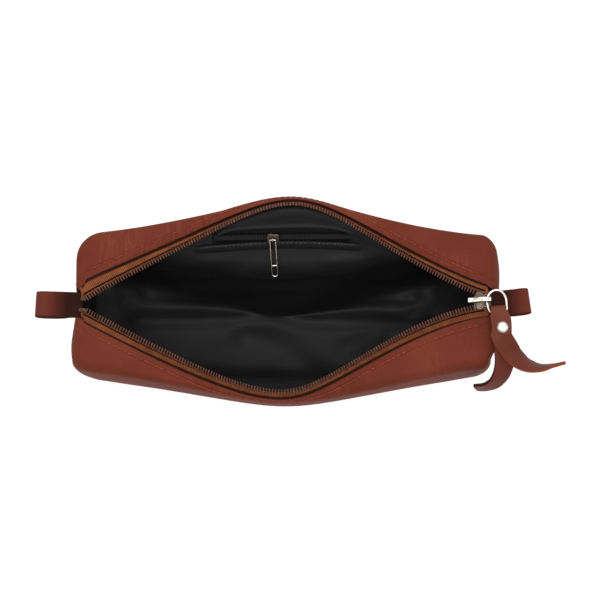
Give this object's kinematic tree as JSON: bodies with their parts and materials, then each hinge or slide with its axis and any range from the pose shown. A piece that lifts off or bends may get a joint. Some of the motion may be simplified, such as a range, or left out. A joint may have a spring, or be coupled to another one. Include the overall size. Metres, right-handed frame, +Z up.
{
  "type": "zip pouch",
  "caption": "Long boxed brown leather zip pouch standing open, with dark lining, inner zip pocket, folded end loops and a riveted leather pull on a ring.",
  "frame": {"origin": "the middle of the underside of the base, which the pouch stands on", "axes": "+X along the zip to the end with the slider, +Y to the rear wall with the inner pocket, +Z up out of the mouth"},
  "size_m": [0.2654, 0.1042, 0.0792],
  "materials": {
    "leather": "semi-gloss fine-grained cow leather, brown",
    "dark_leather": "semi-gloss folded leather, dark brown",
    "satin": "near-black satin lining",
    "tape_cloth": "woven ribbed zip tape, orange-brown",
    "coil": "brown nylon coil",
    "dark_cloth": "black woven tape and pocket cloth",
    "dark_coil": "black nylon coil",
    "nickel": "polished nickel plate"
  },
  "bodies": {
    "pouch_body": {"front_leather_panel": "leather", "rear_leather_panel": "leather", "base_panel": "leather", "left_loop": "dark_leather", "right_loop": "dark_leather", "front_lining": "satin", "rear_lining": "satin", "front_zip_tape": "tape_cloth", "rear_zip_tape": "tape_cloth", "front_zip_chain": "coil", "rear_zip_chain": "coil", "pocket_upper_tape": "dark_cloth", "pocket_lower_tape": "dark_cloth", "pocket_bag": "dark_cloth", "pocket_upper_chain": "dark_coil", "pocket_lower_chain": "dark_coil", "front_top_stop": "nickel", "rear_top_stop": "nickel"},
    "slider_assembly": {"main_slider_body": "nickel", "main_slider_crown": "nickel"},
    "ring_assembly": {"pull_ring": "nickel"},
    "strap_assembly": {"pull_strap": "leather", "rivet_cap": "nickel", "rivet_post": "nickel"},
    "pocket_slider_assembly": {"pocket_slider": "nickel"},
    "pocket_pull_assembly": {"pocket_pull": "nickel"}
  },
  "joints": [
    {"name": "zip_slide", "type": "slide", "parent": "pouch_body", "child": "slider_assembly", "axis": [1, 0, 0], "range_m": [-0.192, 0], "deforming": ["pull_strap"]},
    {"name": "ring_swing", "type": "hinge", "parent": "slider_assembly", "child": "ring_assembly", "pos_m": [0.09985, 0, 0.06485], "axis": [0, -1, 0], "range_deg": [0, 150]},
    {"name": "strap_swing", "type": "hinge", "parent": "ring_assembly", "child": "strap_assembly", "pos_m": [0.10459, -0.0073, 0.0656], "axis": [0.9877, 0, 0.1564], "range_deg": [-100, 0]},
    {"name": "pocket_zip_slide", "type": "slide", "parent": "pouch_body", "child": "pocket_slider_assembly", "axis": [1, 0, 0], "range_m": [-0.024, 0.034]},
    {"name": "pocket_pull_swing", "type": "hinge", "parent": "pocket_slider_assembly", "child": "pocket_pull_assembly", "pos_m": [-0.007, 0.03048, 0.06271], "axis": [-1, 0, 0], "range_deg": [0, 150]}
  ]
}
